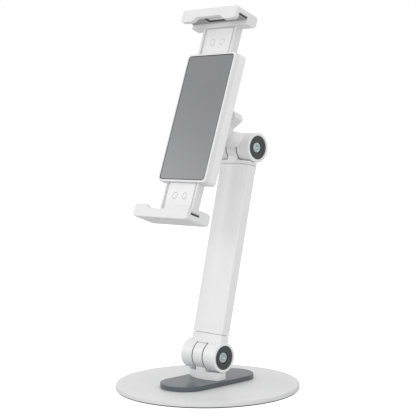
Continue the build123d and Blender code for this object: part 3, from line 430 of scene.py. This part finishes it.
@dataclass(frozen=True)
class TurnedMetal:
    """Plated metal with the fine rings that turning leaves around an axis."""

    name: str
    colour: tuple[float, float, float]
    centre: tuple[float, float, float] = (0.0, 0.0, 0.0)
    turn: tuple[float, float, float] = (0.0, 0.0, 0.0)
    roughness: float = 0.26
    ring_pitch: float = 0.32 * MM
    ring_depth: float = 0.006 * MM
    wander_size: float = 2.0 * MM
    stain_size: float = 3.5 * MM

    def build(self) -> bpy.types.Material:
        """Make the material.

        Returns:
            The finished material.
        """
        shader = Shader(self.name)
        place = shader.place(self.centre, self.turn)
        radius = shader.distance(place)
        wander = shader.noise(place, self.wander_size, 2.0)
        rings = (radius * (TAU / self.ring_pitch) + wander * 3.0).sine() * 0.5 + 0.5
        stain = shader.noise(place, self.stain_size, 3.0).smooth(0.35, 0.7)
        colour = shader.mix(stain, self.colour, shade(self.colour, 0.82))
        colour = shader.mix(rings * 0.35, colour, shade(self.colour, 1.12))
        normal = shader.bump(rings, self.ring_depth)
        rough = self.roughness + rings * 0.06 + stain * 0.1
        return shader.finish(Base_Color=colour, Metallic=1.0, Roughness=rough, Normal=normal)


@dataclass(frozen=True)
class BrushedMetal:
    """Sheet or bar metal with short brush marks along one way."""

    name: str
    colour: tuple[float, float, float]
    roughness: float = 0.34
    mark_length: float = 14.0
    mark_size: float = 0.22 * MM
    mark_depth: float = 0.008 * MM
    stain_size: float = 6.0 * MM

    def build(self) -> bpy.types.Material:
        """Make the material.

        Returns:
            The finished material.
        """
        shader = Shader(self.name)
        place = shader.place()
        along = shader.stretched(place, (1.0, 1.0 / self.mark_length, 1.0))
        marks = shader.noise(along, self.mark_size, 2.0)
        stain = shader.noise(place, self.stain_size, 3.0)
        colour = shader.mix(marks.smooth(0.3, 0.7), shade(self.colour, 0.85), self.colour)
        colour = shader.mix(stain.smooth(0.45, 0.8) * 0.5, colour, shade(self.colour, 0.75))
        normal = shader.bump(marks, self.mark_depth)
        rough = self.roughness + (marks - 0.5) * 0.2
        return shader.finish(Base_Color=colour, Metallic=1.0, Roughness=rough, Normal=normal)


@dataclass(frozen=True)
class Silicone:
    """Moulded silicone: a fine skin with speckle and soft clouds, under an optional gloss, with optional
    painted shade along one axis.
    """

    name: str
    colour: tuple[float, float, float]
    roughness: float = 0.5
    skin_size: float = 0.6 * MM
    skin_depth: float = 0.02 * MM
    speckle_size: float = 0.9 * MM
    cloud_size: float = 45.0 * MM
    gloss: float = 0.3
    deep_shade: Optional[tuple[float, float, float]] = None
    deep_shade_start: float = 0.0
    deep_shade_blend: float = 0.1 * MM
    place: Place = Place((0.0, 0.0, 0.0))

    def build(self) -> bpy.types.Material:
        """Make the material. A dark colour of painted shade, if any, shows beyond a start distance along
        the place's up.

        Returns:
            The finished material.
        """
        shader = Shader(self.name)
        place = shader.place()
        skin = shader.noise(place, self.skin_size, 2.0, 0.6)
        speckle = shader.noise(place, self.speckle_size, 1.0).smooth(0.55, 0.8)
        cloud = shader.noise(place, self.cloud_size, 2.0).smooth(0.3, 0.7)
        colour = shader.mix(cloud, shade(self.colour, 0.94), self.colour)
        colour = shader.mix(speckle * 0.35, colour, shade(self.colour, 1.25))
        if self.deep_shade is not None:
            # Painted shade: beyond the start distance the liner is coloured dark, where the channel lies in
            # shadow.
            deep_shade_mask = shader.along(self.place).smooth(self.deep_shade_start, self.deep_shade_start + self.deep_shade_blend)
            colour = shader.mix(deep_shade_mask, colour, self.deep_shade)
        normal = shader.bump(skin, self.skin_depth)
        rough = self.roughness + (skin - 0.5) * 0.14
        return shader.finish(
            Base_Color=colour,
            Roughness=rough,
            Normal=normal,
            Coat_Weight=self.gloss,
            Coat_Roughness=0.22,
        )


Finish = Union[PowderCoat, MouldedPlastic, GlossPaint, TurnedMetal, BrushedMetal, Silicone]


def dress(obj: bpy.types.Object, finish: Finish) -> None:
    """Give a piece or CAD node one finish in all its material slots.

    Args:
        obj: The piece or node.
        finish: Its finish.
    """
    material = finish.build()
    if not obj.data.materials:
        obj.data.materials.append(material)
    for index in range(len(obj.data.materials)):
        obj.data.materials[index] = material
    LOG.info("dressed %s with %s", obj.name, finish.name)


# ---------------------------------------------------------------- meshes
def surface_mesh(name: str, grid: np.ndarray, close_u: bool, close_v: bool) -> bpy.types.Object:
    """A mesh from a grid of points, one face between each four neighbours.

    Args:
        name: The piece's name.
        grid: Points as an array of shape (u, v, 3), in metres.
        close_u: Whether the last row joins the first.
        close_v: Whether the last column joins the first.

    Returns:
        The object, at the origin, with smooth faces.
    """
    rows, columns = grid.shape[:2]
    index = np.arange(rows * columns).reshape(rows, columns)
    if close_u:
        index = np.vstack([index, index[:1]])
    if close_v:
        index = np.hstack([index, index[:, :1]])
    quads = np.stack([index[:-1, :-1], index[:-1, 1:], index[1:, 1:], index[1:, :-1]], axis=-1)
    faces = quads.reshape(-1, 4).tolist()
    mesh = bpy.data.meshes.new(name)
    mesh.from_pydata(grid.reshape(-1, 3).tolist(), [], faces)
    mesh.polygons.foreach_set("use_smooth", np.ones(len(mesh.polygons), dtype=bool))
    mesh.update()
    obj = bpy.data.objects.new(name, mesh)
    bpy.context.scene.collection.objects.link(obj)
    return obj


@dataclass(frozen=True)
class PadGapShade:
    """A dark bead laid in the gap between the silicone pad and the rim of the case: painted shade where the
    gap lies in shadow.
    """

    width: float = 60.7 * MM
    height: float = 126.2 * MM
    corner: float = 2.9 * MM
    bead_half_width: float = 0.4 * MM
    bead_half_depth: float = 0.6 * MM
    depth: float = -0.58 * MM
    corner_steps: int = 9
    bead_steps: int = 16
    fullness: float = 0.7

    def path(self) -> tuple[np.ndarray, np.ndarray]:
        """The bead's middle line and its outward normals.

        Each corner is an arc about its own centre, and the runs between them are straight: a
        point is the corner's centre plus the corner radius times (cos a, sin a).

        Returns:
            Points and normals in the face, each of shape (n, 2).
        """
        quarter = np.linspace(0.0, math.pi / 2, self.corner_steps)
        angles = (np.arange(4)[:, None] * (math.pi / 2) + quarter[None, :]).ravel()
        corner_index = np.repeat(np.arange(4), self.corner_steps)
        signs = np.array([[1, 1], [-1, 1], [-1, -1], [1, -1]], dtype=float)[corner_index]
        centres = signs * np.array([self.width / 2 - self.corner, self.height / 2 - self.corner])
        normals = np.stack([np.cos(angles), np.sin(angles)], axis=-1)
        return centres + self.corner * normals, normals

    def build(self, face: Place) -> bpy.types.Object:
        """Sweep the bead's oval section along the path.

        The section is x = a cos t, y = b sin t with the size of the cosine and of the sine each
        raised to the power of fullness, below 1, so that it is fuller than an ellipse.

        Args:
            face: The frame of the case's front face.

        Returns:
            The bead.
        """
        line, normals = self.path()
        turn = np.linspace(0.0, TAU, self.bead_steps, endpoint=False)
        across = np.sign(np.cos(turn)) * np.abs(np.cos(turn)) ** self.fullness * self.bead_half_width
        out = np.sign(np.sin(turn)) * np.abs(np.sin(turn)) ** self.fullness * self.bead_half_depth
        flat = line[:, None, :] + normals[:, None, :] * across[None, :, None]
        rise = np.broadcast_to(self.depth + out[None, :, None], flat.shape[:2] + (1,))
        local = np.concatenate([flat, rise], axis=-1)
        return surface_mesh("pad_gap_shade", face.world(local), True, True)


# ---------------------------------------------------------------- light and camera
@dataclass(frozen=True)
class Softbox:
    """A rectangular area light: its place, its width and height, and its power in watts."""

    name: str
    at: tuple[float, float, float]
    size: tuple[float, float]
    power: float

    def build(self, aim: Sequence[float]) -> None:
        """Make the light.

        Args:
            aim: The point that it faces.
        """
        data = bpy.data.lights.new(self.name, "AREA")
        data.shape = "RECTANGLE"
        data.size, data.size_y = self.size
        data.energy = self.power
        light = bpy.data.objects.new(self.name, data)
        light.rotation_euler = (Vector(aim) - Vector(self.at)).to_track_quat("-Z", "Y").to_euler()
        light.location = self.at
        bpy.context.scene.collection.objects.link(light)


@dataclass(frozen=True)
class Studio:
    """A pale floor, soft light and the camera."""

    look_at: tuple[float, float, float] = (0.0, 0.0, 0.1763)
    distance: float = 1.1474
    azimuth: float = math.radians(45.11)
    pitch: float = math.radians(3.66)
    roll: float = math.radians(-0.40)
    lens: float = 102.0
    shift: tuple[float, float] = (0.0037, 0.0005)
    world_level: float = 0.88
    floor_radius: float = 6.0
    floor_drop: float = 0.1 * MM
    floor_steps: int = 64
    aim: tuple[float, float, float] = (0.0, 0.0, 0.18)
    lights: tuple[Softbox, ...] = (
        Softbox("key_light", (-0.15, -1.8, 0.6), (1.4, 1.0), 2.4),
        Softbox("left_light", (-1.15, -0.95, 0.69), (0.9, 0.4), 2.4),
        Softbox("right_light", (1.2, -1.1, 0.45), (0.7, 0.7), 4.0),
        Softbox("top_light", (0.15, -0.2, 1.7), (1.6, 1.6), 1.0),
    )
    floor_glow: tuple[float, float, float] = (0.10, 0.10, 0.10)
    floor_white: tuple[float, float, float] = (0.75, 0.75, 0.75)

    def build(self) -> None:
        """Make the whole setting."""
        self.camera()
        self.world()
        self.floor()
        for light in self.lights:
            light.build(self.aim)

    def camera(self) -> None:
        """A long lens at eye height, a little above the middle of the stand."""
        flat = math.cos(self.pitch)
        away = Vector((math.sin(self.azimuth) * flat, -math.cos(self.azimuth) * flat, math.sin(self.pitch)))
        forward = -away
        level = forward.cross(Vector((0, 0, 1))).normalized()
        above = level.cross(forward)
        right = level * math.cos(self.roll) + above * math.sin(self.roll)
        up = above * math.cos(self.roll) - level * math.sin(self.roll)
        data = bpy.data.cameras.new("camera")
        data.lens = self.lens
        data.sensor_width = 36.0
        data.shift_x, data.shift_y = self.shift
        data.clip_start = 0.05
        data.clip_end = 50.0
        camera = bpy.data.objects.new("camera", data)
        turn = Matrix((right, up, away)).transposed().to_4x4()
        camera.matrix_world = Matrix.Translation(Vector(self.look_at) + away * self.distance) @ turn
        bpy.context.scene.collection.objects.link(camera)
        bpy.context.scene.camera = camera

    def world(self) -> None:
        """An even white surround, dimmer as a light than it looks."""
        world = bpy.data.worlds.new("surround")
        world.use_nodes = True
        tree = world.node_tree
        tree.nodes.clear()
        path = tree.nodes.new("ShaderNodeLightPath")
        level = tree.nodes.new("ShaderNodeMapRange")
        level.inputs[3].default_value = self.world_level
        level.inputs[4].default_value = 1.0
        background = tree.nodes.new("ShaderNodeBackground")
        background.inputs["Color"].default_value = (1.0, 1.0, 1.0, 1.0)
        out = tree.nodes.new("ShaderNodeOutputWorld")
        tree.links.new(path.outputs["Is Camera Ray"], level.inputs[0])
        tree.links.new(level.outputs[0], background.inputs["Strength"])
        tree.links.new(background.outputs[0], out.inputs["Surface"])
        bpy.context.scene.world = world
        bpy.context.scene.view_settings.view_transform = "Standard"
        bpy.context.scene.view_settings.look = "None"

    def floor(self) -> None:
        """A round white floor: radius runs along one parameter, angle along the other."""
        radius = np.array([0.0001, 0.3, 0.8, 2.0, self.floor_radius])[:, None]
        angle = np.linspace(0.0, TAU, self.floor_steps, endpoint=False)[None, :]
        height = np.full((radius.size, angle.size), -self.floor_drop)
        grid = np.stack([radius * np.cos(angle), radius * np.sin(angle), height], axis=-1)
        floor = surface_mesh("floor", grid, False, True)
        shader = Shader("floor_paper")
        place = shader.place()
        fibre = shader.noise(place, 3.0 * MM, 3.0)
        colour = shader.mix(fibre, (0.5, 0.5, 0.5), (0.54, 0.54, 0.54))
        seen = shader.node("ShaderNodeLightPath", output="Is Camera Ray")
        material = shader.finish(
            Base_Color=colour,
            Roughness=0.8,
            Emission_Color=shader.mix(seen, self.floor_glow, self.floor_white),
            Emission_Strength=1.0,
        )
        floor.data.materials.append(material)


# ---------------------------------------------------------------- finishes in use
WHITE_BASE = PowderCoat("base powder coat", (0.74, 0.74, 0.745))
WHITE_ARM = PowderCoat("arm powder coat", (0.82, 0.82, 0.82), roughness=0.34)
WHITE_CASE = MouldedPlastic("case plastic", (0.79, 0.79, 0.79))
# The back shell is the same white plastic as the front shell, coloured lighter: painted light standing in
# for the brighter light on the back shell.
WHITE_CASE_PAINTED_LIGHTER = MouldedPlastic("case plastic painted lighter", (0.86, 0.86, 0.86))
WHITE_JAW = MouldedPlastic("jaw plastic", (0.775, 0.775, 0.775))
GREY_PLATE = GlossPaint("plate gloss paint", (0.105, 0.119, 0.136), (0.165, 0.182, 0.203))
DARK_DISC = MouldedPlastic("disc plastic", (0.055, 0.057, 0.062), roughness=0.38)
PALE_NYLON = MouldedPlastic("pale nylon", (0.72, 0.71, 0.66), roughness=0.5)
BLACK_NYLON = MouldedPlastic("black nylon", (0.02, 0.02, 0.022), roughness=0.55)
GREY_SILICONE = Silicone("grey silicone", (0.172, 0.174, 0.185), gloss=1.0)
# Near-black finish for the bead round the pad: painted shade in the gap between the pad and the rim.
GAP_SHADE_BLACK = Silicone("painted gap shade", (0.02, 0.02, 0.022), roughness=0.6, gloss=0.0)
FOOT_RUBBER = Silicone("foot rubber", (0.022, 0.022, 0.023), roughness=0.7, gloss=0.0)
STEEL = BrushedMetal("plated steel", (0.58, 0.6, 0.62))
STEEL_COLOUR = (0.54, 0.65, 0.65)


# ---------------------------------------------------------------- sub-assemblies
class SubAssembly:
    """A part of the stand whose pieces are built and dressed together."""

    def build(self) -> None:
        """Make the pieces that the CAD model leaves out. Most sub-assemblies have none."""

    def finishes(self) -> dict[str, Finish]:
        """The finish of each of its CAD nodes, by the node's name."""
        raise NotImplementedError

    def dress(self, nodes: Mapping[str, bpy.types.Object]) -> None:
        """Give each of its CAD nodes its finish.

        Args:
            nodes: The CAD nodes by name.
        """
        for name, finish in self.finishes().items():
            dress(nodes[name], finish)


@dataclass
class SwivelBase(SubAssembly):
    """The heavy disc with its foot, and the plate and bracket that turn on it."""

    disc: Finish = WHITE_BASE
    plate: Finish = GREY_PLATE
    bracket: Finish = WHITE_ARM

    def finishes(self) -> dict[str, Finish]:
        """The finish of each of its CAD nodes.

        Returns:
            The finishes by the node's name.
        """
        return {
            "base_disc": self.disc,
            "base_foot_pad": FOOT_RUBBER,
            "pivot_spring_washer": STEEL,
            "swivel_plate": self.plate,
            "swivel_washer": PALE_NYLON,
            "base_bracket": self.bracket,
            "bracket_screws": STEEL,
            "pivot_bolt": STEEL,
        }


@dataclass
class Arm(SubAssembly):
    """The tube and the fittings at its two ends."""

    coat: Finish = WHITE_ARM

    def finishes(self) -> dict[str, Finish]:
        """The finish of each of its CAD nodes.

        Returns:
            The finishes by the node's name.
        """
        return {
            "lower_fork": self.coat,
            "arm_tube": self.coat,
            "arm_head": self.coat,
            "fork_screws": STEEL,
            "head_screws": STEEL,
        }


@dataclass
class FrictionHinge(SubAssembly):
    """The bolt, nut, discs and washers of the hinge at one end of the arm."""

    end: End

    def finishes(self) -> dict[str, Finish]:
        """The finish of each of its CAD nodes, with the plating's rings round the bolt.

        Returns:
            The finishes by the node's name.
        """
        hinge = self.end.value + "_hinge"
        centre = middle(hinge + "_bolt")
        turned = TurnedMetal(self.end.value + " hinge plating", STEEL_COLOUR, centre, ALONG_X)
        return {
            hinge + "_bolt": turned,
            hinge + "_nut": turned,
            hinge + "_spring_washers": turned,
            hinge + "_pressure_disc": DARK_DISC,
            hinge + "_end_cap": DARK_DISC,
            hinge + "_friction_washers": BLACK_NYLON,
        }


@dataclass
class Neck(SubAssembly):
    """The fork that carries the ball behind the holder."""

    coat: Finish = WHITE_ARM

    def finishes(self) -> dict[str, Finish]:
        """The finish of each of its CAD nodes.

        Returns:
            The finishes by the node's name.
        """
        return {"holder_fork": self.coat, "ball_stud": STEEL}


@dataclass
class Holder(SubAssembly):
    """The case with its pad, ball socket and pinion, and the dark bead of painted gap shade round the pad.
    """

    face: Place
    gap_shade: PadGapShade = PadGapShade()

    def build(self) -> None:
        """Make the dark bead of painted gap shade, which moves with the case."""
        bead = self.gap_shade.build(self.face)
        dress(bead, GAP_SHADE_BLACK)
        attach(bead, "holder")

    def finishes(self) -> dict[str, Finish]:
        """The finish of each of its CAD nodes.

        Returns:
            The finishes by the node's name.
        """
        return {
            "ball_seat_rear": PALE_NYLON,
            "ball_seat_front": PALE_NYLON,
            "socket_cup": WHITE_CASE,
            "lock_ring": WHITE_CASE,
            "socket_screws": STEEL,
            "back_shell": WHITE_CASE_PAINTED_LIGHTER,
            "front_shell": WHITE_CASE,
            "front_pad": GREY_SILICONE,
            "shell_screws": STEEL,
            "pinion_shaft": STEEL,
            "pinion_spring": STEEL,
            "sync_pinion": PALE_NYLON,
        }


@dataclass
class Jaw(SubAssembly):
    """One sliding jaw, whose grey liner is painted dark beyond a distance along the case: painted shade
    deep in its channel.
    """

    end: End
    face: Place
    skin: tuple[float, float, float] = (0.36, 0.36, 0.365)
    # Painted shade: the dark colour, and where along the case it starts.
    deep_shade: tuple[float, float, float] = (0.045, 0.045, 0.047)
    deep_shade_start: float = 98.0 * MM

    def liner(self) -> Silicone:
        """The liner's finish, with painted shade that starts at a distance from the middle of the case.

        Returns:
            The finish.
        """
        return Silicone(
            self.end.value + " liner silicone",
            self.skin,
            gloss=0.1,
            deep_shade=self.deep_shade,
            deep_shade_start=self.deep_shade_start,
            place=Place(self.face.origin, self.face.lean, self.end.sign),
        )

    def finishes(self) -> dict[str, Finish]:
        """The finish of each of its CAD nodes.

        Returns:
            The finishes by the node's name.
        """
        prefix = self.end.value
        return {
            prefix + "_jaw": WHITE_JAW,
            prefix + "_jaw_liner": self.liner(),
            prefix + "_slide_plate": WHITE_ARM,
            prefix + "_slide_rivets": WHITE_ARM,
            prefix + "_rack": STEEL,
            prefix + "_rack_screws": STEEL,
        }


def middle(node: str) -> tuple[float, float, float]:
    """The middle of a CAD node's box."""
    low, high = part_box(node)
    return tuple((low + high) / 2)


def panel_face(pad_middle_depth: float = 0.8 * MM) -> Place:
    """The frame of the case's front face, which leans back with the pad.

    Args:
        pad_middle_depth: How far the middle of the pad's thickness lies behind that face.

    Returns:
        The frame, with its origin in front of the pad's middle.
    """
    rest = Place((0.0, 0.0, 0.0), PANEL_LEAN)
    return Place(tuple(np.array(middle("front_pad")) + rest.out * pad_middle_depth), PANEL_LEAN)


def main() -> None:
    """Build and dress each sub-assembly in order, then light it."""
    logging.basicConfig(level=logging.INFO, format="%(message)s")
    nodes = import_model()["nodes"]
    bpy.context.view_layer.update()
    face = panel_face()
    stand = [
        SwivelBase(),
        Arm(),
        FrictionHinge(End.LOWER),
        FrictionHinge(End.UPPER),
        Neck(),
        Holder(face),
        Jaw(End.UPPER, face),
        Jaw(End.LOWER, face),
    ]
    for part in stand:
        part.build()
        part.dress(nodes)
    Studio().build()


if __name__ == "__main__":
    main()
